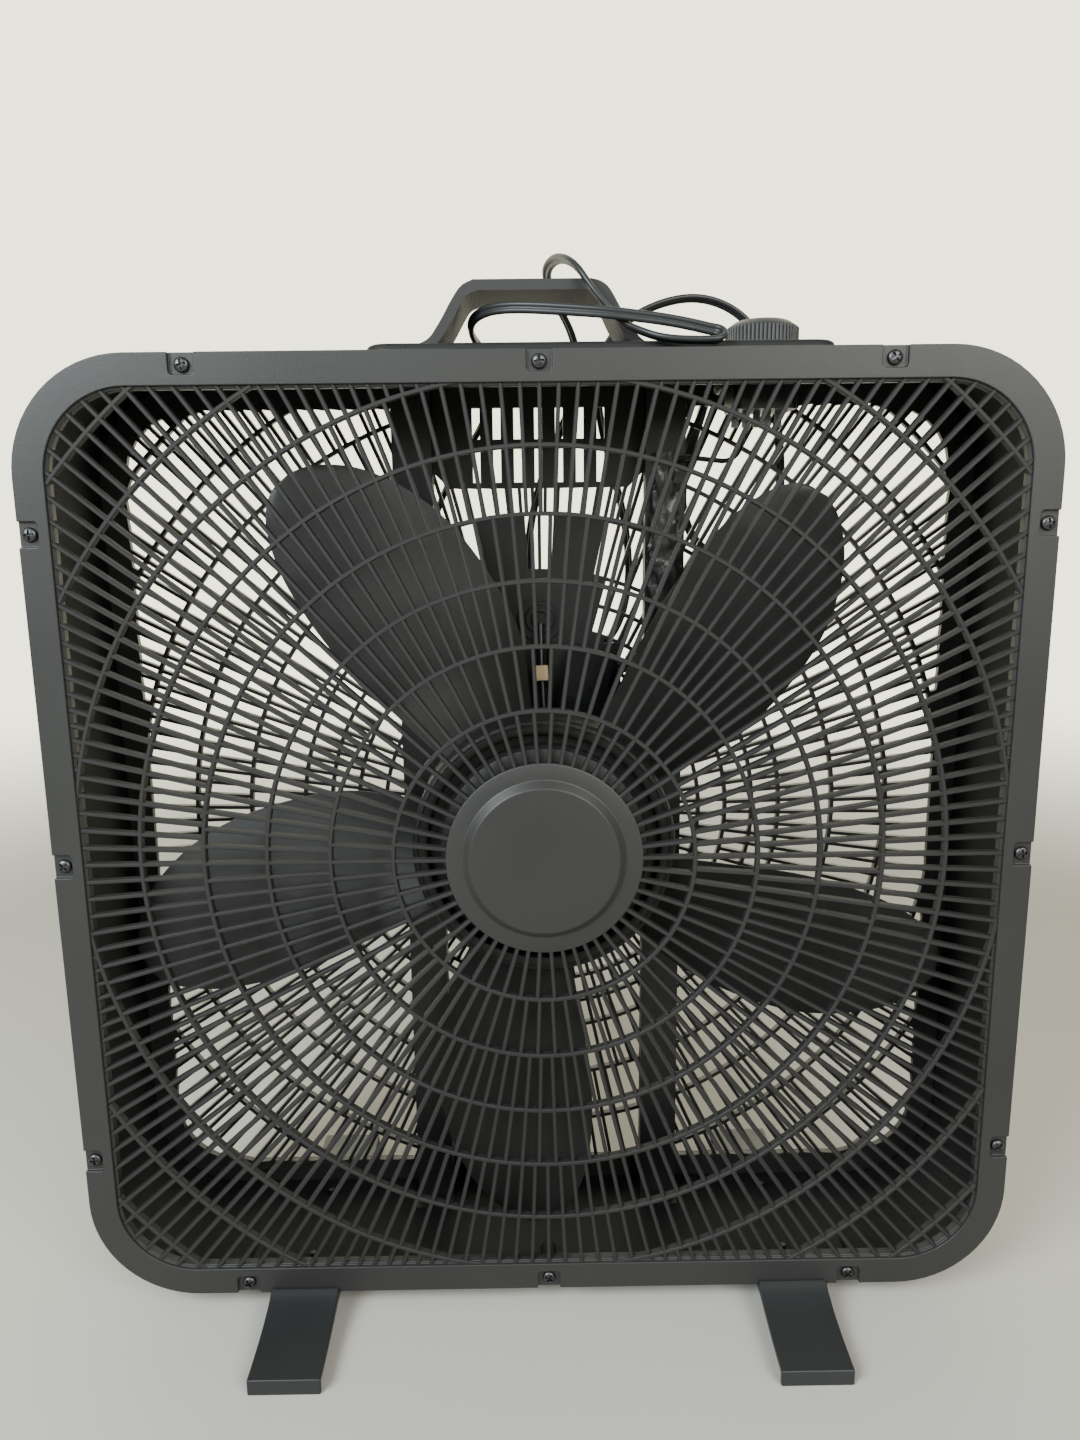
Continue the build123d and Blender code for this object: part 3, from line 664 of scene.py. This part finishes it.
def makeScrews():
    look = screwLook
    base = frontY + look["sink"] * mm
    verts, faces = lathe([(r * mm, base + y * mm) for r, y in look["head"]], 28, 0.0)
    head = makePiece("screwHead", verts, faces, screwSteel)
    w, b = look["slotHalf"] * mm, look["slotReach"] * mm
    plus = [(w, w), (b, w), (b, -w), (w, -w), (w, -b), (-w, -b), (-w, -w), (-b, -w), (-b, w), (-w, w), (-w, b), (w, b)]
    cutVerts, cutFaces = prism(plus, lambda p, y: (p[0], y, p[1]), base - 2 * mm, base + look["slotDeep"] * mm)
    cutWith(head, cutVerts, cutFaces)
    roundEdges(head, look["edgeRound"] * mm, 1, 40)
    headVerts = [Vector(v.co) for v in head.data.vertices]
    headFaces = [tuple(f.vertices) for f in head.data.polygons]
    bpy.data.objects.remove(head)
    parts = []
    for x, z, _, _ in screwSpots():
        turn = random.uniform(0, math.pi / 2)  # each recess stops where its screw got tight
        c, s = math.cos(turn), math.sin(turn)
        placed = [(x + v.x * c - v.z * s, v.y, axisZ + z + v.x * s + v.z * c) for v in headVerts]
        parts.append((placed, headFaces))
    verts, faces = joinParts(parts)
    makePiece("bezelScrewHeads", verts, faces, screwSteel, "frame", ["bezel_screws"])


neckLook = {"up": 121, "sink": 0.8, "rings": ((14.0, 1.3), (9.4, 1.0), (5.6, 1.6))}  # radius and height of each ring


def makeNeckRings():  # round the hole that the capacitor lead comes through
    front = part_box("rear_grille")[0][1] + neckLook["sink"] * mm
    cz = axisZ + neckLook["up"] * mm
    parts = []
    for radius, rise in neckLook["rings"]:
        ring = [(r * mm, front + y * mm) for r, y in
                [(radius - 1.1, 0.6), (radius - 0.9, -rise + 0.3), (radius - 0.6, -rise), (radius - 0.2, -rise + 0.1),
                 (radius, -rise + 0.5), (radius, 0.6), (radius - 1.1, 0.6)]]
        parts.append(lathe(ring, 64, cz))
    verts, faces = joinParts(parts)
    makePiece("neckRings", verts, faces, grillePlastic, "frame", ())


makeBezel()
makeLattice()
makeDisc()
makeScrews()
makeNeckRings()
print("front grille ready")


bladeLook = {  # edges are radius and angle from the blade's own line
    "count": 5, "tip": 247.0, "turn": 120.0, "pitch": 48.0, "middle": -11.8, "thick": 2.2, "camber": 2.4,
    "frontEdge": [(70, 17.6), (110, 16.9), (150, 16.2), (200, 13.2), (230, 9.8), (243.5, 6.6), (247, 3.0)],
    "backEdge": [(70, -25.2), (112, -24.3), (150, -19.6), (195, -12.9), (228, -5.8), (243, -0.4), (247, 3.0)],
}


def bladePoint(r, degrees, across, turn, lift):
    look = bladeLook
    a = math.radians(degrees)
    bulge = look["camber"] * (1 - (2 * across - 1) ** 2) * min(1.0, (look["tip"] - r) / 90 + 0.25)
    y = look["middle"] - look["pitch"] * a - bulge + lift
    whole = a + math.radians(turn)
    return (r * mm * math.cos(whole), y * mm, axisZ + r * mm * math.sin(whole))


def oneBlade(turn):
    look = bladeLook
    ahead = smoothLine(look["frontEdge"], 7)
    behind = smoothLine(look["backEdge"], 7)
    across = 16
    sides = []
    for lift in (-look["thick"] / 2, look["thick"] / 2):
        rows = []
        for f, b in zip(ahead, behind):
            row = []
            for k in range(across + 1):
                t = k / across
                r, deg = f * (1 - t) + b * t
                edge = min(1.0, 4.0 * min(t, 1 - t) + 0.35)
                row.append(bladePoint(r, deg, t, turn, lift * edge))
            rows.append(row)
        sides.append(rows)
    ring = [f + b[::-1] for f, b in zip(sides[0], sides[1])]
    return loops(ring)


hubProfile = [(9, -37), (10, -36.8), (30, -36.2), (48, -35.6), (54, -35.0), (57.4, -33.8), (59, -31.6), (59.2, -24),
              (64.4, -24), (64.8, -30.6), (65.6, -32.2), (67.0, -33.0), (69.4, -33.0), (69.9, -32.4), (70.4, -32.4),
              (71.0, -33.0), (72.6, -32.5), (73.6, -31.2), (74, -29.4), (74, 1.2), (73.4, 2), (71.8, 2), (71.4, 1.2),
              (71.4, -29), (66, -29.6), (66, -21.5), (57, -21.5), (55, -31.5), (12, -33), (9.6, -33), (9, -34),
              (9, -37)]
collarProfile = [(4.05, -34), (9, -34), (9, -4), (4.05, -4), (4.05, -34)]  # grips the shaft
capProfile = [(0, -37.4), (6, -37.3), (8.6, -36.9), (9.6, -36.4), (9.6, -33.4), (0, -33.4)]
hubRibs = {"count": 10, "from": 8.6, "to": 56, "front": -31.5, "wide": 1.8, "deep": 14, "chamfer": 0.3}


def makeFan():
    def turned(profile, steps):
        return lathe([(r * mm, y * mm) for r, y in profile], steps)

    count = bladeLook["count"]
    parts = [oneBlade(bladeLook["turn"] + 360 / count * i) for i in range(count)]
    parts += [turned(hubProfile, 150), turned(collarProfile, 40)]
    for i in range(hubRibs["count"]):
        sizes = [hubRibs[k] * mm for k in ("from", "to", "front", "wide", "deep", "chamfer")]
        parts.append(barSegment(2 * math.pi * i / hubRibs["count"], *sizes))
    parts.append(turned(capProfile, 40))
    verts, faces = joinParts(parts)
    makePiece("fanRotor", verts, faces, fanPlastic, "impeller", ["fan_blade"])


makeFan()
print("fan ready")


knobLook = {"flutes": 54, "radius": 19.6, "groove": 0.85, "height": 14.5, "bevel": 3.7, "topRadius": 13.2,
            "hollowRadius": 16.4, "hollow": 4, "bore": 3.1, "pointer": (4, 11.2), "pointerHalf": 0.7}


def makeKnob():
    look = knobLook
    low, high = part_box("speed_knob")
    cx = (low[0] + high[0]) / 2
    cy = (low[1] + high[1]) / 2
    steps = look["flutes"] * 10
    skirt = look["height"] - look["bevel"]
    wide = look["radius"]
    narrow = look["topRadius"]
    top = look["height"]
    levels = [(wide - 0.9, 0.0, 0.0), (wide, 0.4, 0.6), (wide, 1.0, 1.0), (wide, skirt - 1.0, 1.0),
              (wide - 0.1, skirt - 0.3, 0.9), (wide - 1.0, skirt + 0.5, 0.3), (wide - 2.6, skirt + 1.6, 0.0),
              (narrow + 1.4, top - 0.5, 0.0), (narrow, top, 0.0), (narrow - 1.0, top, 0.0),
              (narrow - 1.6, top - 0.35, 0.0), (0.0, top - 0.35, 0.0)]  # radius, height, depth of fluting

    def ring(r, z, flute=0.0):
        spots = []
        for k, (c, s) in enumerate(circle(steps)):
            wave = abs(math.sin(math.pi * look["flutes"] * k / steps)) ** 0.7
            radius = (r - look["groove"] * flute * (1 - wave)) * mm
            spots.append((cx + radius * c, cy + radius * s, low[2] + z * mm))
        return spots

    hollow = [ring(look["bore"], look["hollow"]), ring(look["hollowRadius"], look["hollow"]),
              ring(look["hollowRadius"], 0)]
    verts, faces = loops(hollow + [ring(*level) for level in levels])
    makePiece("knobCap", verts, faces, knobPlastic, "knob", ["speed_knob"])
    half = look["pointerHalf"]
    near, far = look["pointer"]
    pointer = [(-half, near), (half, near), (half, far), (-half, far)]
    base = low[2] + (top - 0.35) * mm
    verts, faces = prism(pointer, lambda p, z: (cx + p[0] * mm, cy - p[1] * mm, z), base - 0.2 * mm, base + 0.45 * mm)
    mark = makePiece("knobPointer", verts, faces, knobPlastic, "knob", ())
    roundEdges(mark, 0.3 * mm, 2)


handleLook = {
    "depth": 45.0, "thick": 5.4, "leftFoot": -78.0, "rightFoot": 66.0, "rise": 33.5, "edgeRound": 1.5,
    "plateRound": 12.0, "plateEdge": ((0.0, 0.0), (0.0, 2.4), (-0.35, 3.5), (-1.1, 4.3), (-2.2, 4.8), (-3.4, 5.0)),
}


def archLine(inset):  # the bow's outside, or its inside when inset by the thickness
    look = handleLook
    top = look["rise"] - inset
    left = [(look["leftFoot"] + inset, 0.2), (-70 + inset, 0.7), (-58.5 + 0.75 * inset, 3.9 - 0.5 * inset),
            (-51.8 + 0.85 * inset, 11.8 - 0.5 * inset), (-44.2 + 0.71 * inset, top - 9.1 + 0.29 * inset),
            (-39.4 + 0.5 * inset, top - 3.0 + 0.1 * inset), (-33.5 + 0.4 * inset, top)]
    right = [(27.5 - 0.4 * inset, top), (32.6 - 0.5 * inset, top - 1.4), (37.4 - 0.6 * inset, top - 5.4 + 0.3 * inset),
             (44.2 - 0.83 * inset, top - 17 + 0.45 * inset), (50.2 - 0.83 * inset, 7.4 - 0.5 * inset),
             (56.5 - 0.9 * inset, 2.0 - 0.2 * inset), (look["rightFoot"] - inset, 0.2)]
    return smoothLine(left, 6) + smoothLine(right, 6)


def makeHandle():
    look = handleLook
    plateLow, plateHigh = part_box("top_handle")
    deck = plateHigh[2] - look["rise"] * mm
    outer = archLine(0.0)
    inner = archLine(look["thick"])
    outline = [tuple(p) for p in outer] + [tuple(p) for p in inner[::-1]]
    outline = [(x, max(z, -0.6) if i else z) for i, (x, z) in enumerate(outline)]
    half = look["depth"] / 2 * mm
    verts, faces = prism(outline, lambda p, y: (p[0] * mm, y, deck + p[1] * mm), -half, half)
    # the bow takes the lighter copy of the case plastic, with painted light in its colour
    bow = makePiece("handleBow", verts, faces, handlePlasticPaintedLight, "frame", ["top_handle"])
    roundEdges(bow, look["edgeRound"] * mm, 3, 40)
    corner = look["plateRound"] * mm
    cx = (plateLow[0] + plateHigh[0]) / 2
    hw = (plateHigh[0] - plateLow[0]) / 2
    hd = (plateHigh[1] - plateLow[1]) / 2
    rows = []
    for grow, z in look["plateEdge"]:
        ring = roundedRing(hw + grow * mm, hd + grow * mm, corner + grow * mm)
        rows.append([(cx + x, y, caseTop + z * mm) for x, y in ring])
    verts, faces = capped(*loops(rows), len(rows[0]))
    makePiece("handlePlate", verts, faces, casePlastic, "frame", ["top_handle"])


footLook = {"wide": 39.5, "edgeRound": 0.9, "bossAcross": 30,
            "boss": [(4.6, 0), (7.0, 0), (7.0, 10.4), (1.9, 10.4), (1.9, 6), (4.6, 6), (4.6, 0)]}


def footOutline():
    tip = -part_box("left_foot")[0][1] / mm
    edge = 53.9  # just behind the bezel's face
    top = smoothLine([(-edge - 1.2, 17.3), (-edge - 8, 14.4), (-edge - 22, 11.4), (-edge - 40, 9.9), (-tip, 9.5)], 5)
    under = smoothLine([(-tip + 3.5, 6.0), (-edge - 36, 6.6), (-edge - 20, 7.8), (-edge - 4, 9.6), (-edge + 6, 10)], 4)
    half = [(-edge, 14.0), (-edge, 17.4)] + [tuple(p) for p in top] + [(-tip, 0), (-tip + 3.5, 0)]
    half += [tuple(p) for p in under]
    back = [(-y, z) for y, z in half[::-1]]
    return half + [(-30, 10)] + [(30, 10)] + back


def makeFoot(side):
    name = side + "_foot"
    low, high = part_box(name)
    cx = (low[0] + high[0]) / 2
    half = footLook["wide"] / 2 * mm
    verts, faces = prism(footOutline(), lambda p, x: (x, p[0] * mm, p[1] * mm), cx - half, cx + half)
    foot = makePiece(side + "FootPlate", verts, faces, footPlastic, "frame", [name])
    roundEdges(foot, footLook["edgeRound"] * mm, 3, 40)
    parts = []
    for y in (-footLook["bossAcross"], footLook["bossAcross"]):
        parts.append(loops([[(cx + r * mm * c, y * mm + r * mm * s, z * mm) for c, s in circle(48)]
                            for r, z in footLook["boss"]]))
    verts, faces = joinParts(parts)
    makePiece(side + "FootBosses", verts, faces, footPlastic, "frame", [name])


makeKnob()
makeHandle()
makeFoot("left")
makeFoot("right")
print("knob, handle and feet ready")


sleeveLook = {"wide": 9.6, "deep": 4.6, "flatBack": 3.2, "longer": 26, "pinch": 0.22, "crumple": 0.34,
              "fineCrumple": 0.16}


def makeSleeve():
    low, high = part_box("lead_sleeve")
    cx = (low[0] + high[0]) / 2
    cy = (low[1] + high[1]) / 2
    look = sleeveLook
    levels = 60
    rows = []
    height = (high[2] - low[2]) + look["longer"] * mm
    for i in range(levels):
        t = i / (levels - 1)
        z = low[2] + height * t
        pinch = 1 - look["pinch"] + look["pinch"] * math.sin(math.pi * min(1.0, t * 1.6))
        ring = []
        for c, s in circle(30):
            spot = Vector((c * 2.2, s * 2.2, z * 95))
            crumple = 1 + look["crumple"] * noise.noise(spot) + look["fineCrumple"] * noise.noise(spot * 2.7)
            ring.append((cx + look["wide"] * mm * pinch * crumple * c,
                         min(cy + look["deep"] * mm * pinch * crumple * s, cy + look["flatBack"] * mm), z))
        rows.append(ring)
    verts, faces = loops(rows)
    makePiece("leadSleeveFilm", verts, faces, filmPlastic, "frame", ["lead_sleeve"])


makeSleeve()
print("sleeve ready")


stageLook = {"radius": 3.0, "solid": 0.8, "clear": 2.4, "colour": (0.4, 0.39, 0.36)}


def stageFinish():
    s = Shader(bpy.data.materials.new("stagePaper"))
    spread = s.node("ShaderNodeVectorMath", {"operation": "LENGTH"}, {0: s.place((1, 1, 0))}, 1)
    fade = s.node("ShaderNodeMapRange", {"interpolation_type": "SMOOTHSTEP"},
                  {"Value": spread, "From Min": stageLook["solid"], "From Max": stageLook["clear"],
                   "To Min": 1.0, "To Max": 0.0})
    grain = s.cloud(0.004, 2.0)
    s.set(Base_Color=(*stageLook["colour"], 1.0), Roughness=0.75, Alpha=fade)
    s.set(Normal=s.relief(grain, 0.0001, 0.2))
    return s.owner


def makeStage():  # a disc that fades out, so the back views are clear too
    steps = 96
    verts = [(0.0, 0.0, 0.0)] + [(stageLook["radius"] * c, stageLook["radius"] * s, 0.0) for c, s in circle(steps)]
    faces = [(0, k + 1, (k + 1) % steps + 1) for k in range(steps)]
    mesh = bpy.data.meshes.new("stage")
    mesh.from_pydata(verts, [], faces)
    paper = bpy.data.objects.new("stage", mesh)
    bpy.context.collection.objects.link(paper)
    mesh.materials.append(stageFinish())


room = {"colour": (1.0, 0.975, 0.76), "behind": 3.1, "front": 0.4, "edge": 0.3, "full": 0.82}  # strengths along Y
lights = {
    "window": {"at": (-1.1, -1.25, 1.25), "aim": (-0.15, 0.0, 0.42), "size": 0.9, "power": 74,
               "colour": (0.9, 0.97, 1.0)},
    "lamp": {"at": (0.85, -1.4, 1.15), "aim": (0.12, 0.0, 0.42), "size": 1.0, "power": 42,
             "colour": (1.0, 0.985, 0.95)},
}


def makeLights():
    for name, look in lights.items():
        data = bpy.data.lights.new(name, "AREA")
        data.shape = "SQUARE"
        data.size = look["size"]
        data.energy = look["power"]
        data.color = look["colour"]
        lamp = bpy.data.objects.new(name, data)
        bpy.context.collection.objects.link(lamp)
        turn = (Vector(look["aim"]) - Vector(look["at"])).to_track_quat("-Z", "Y")
        lamp.matrix_world = Matrix.Translation(Vector(look["at"])) @ turn.to_matrix().to_4x4()


def makeWorld():  # bright behind the fan, dim behind the camera
    s = Shader(bpy.data.worlds.new("studio"), "Background")
    toward = s.node("ShaderNodeSeparateXYZ", {}, {0: s.node("ShaderNodeTexCoord", output="Generated")}, 1)
    glow = s.node("ShaderNodeMapRange", {"interpolation_type": "SMOOTHSTEP"},
                  {"Value": toward, "From Min": room["edge"], "From Max": room["full"], "To Min": room["front"],
                   "To Max": room["behind"]})
    s.set(Color=(*room["colour"], 1.0), Strength=glow)
    bpy.context.scene.world = s.owner


makeStage()
makeLights()
makeWorld()
print("stage ready")
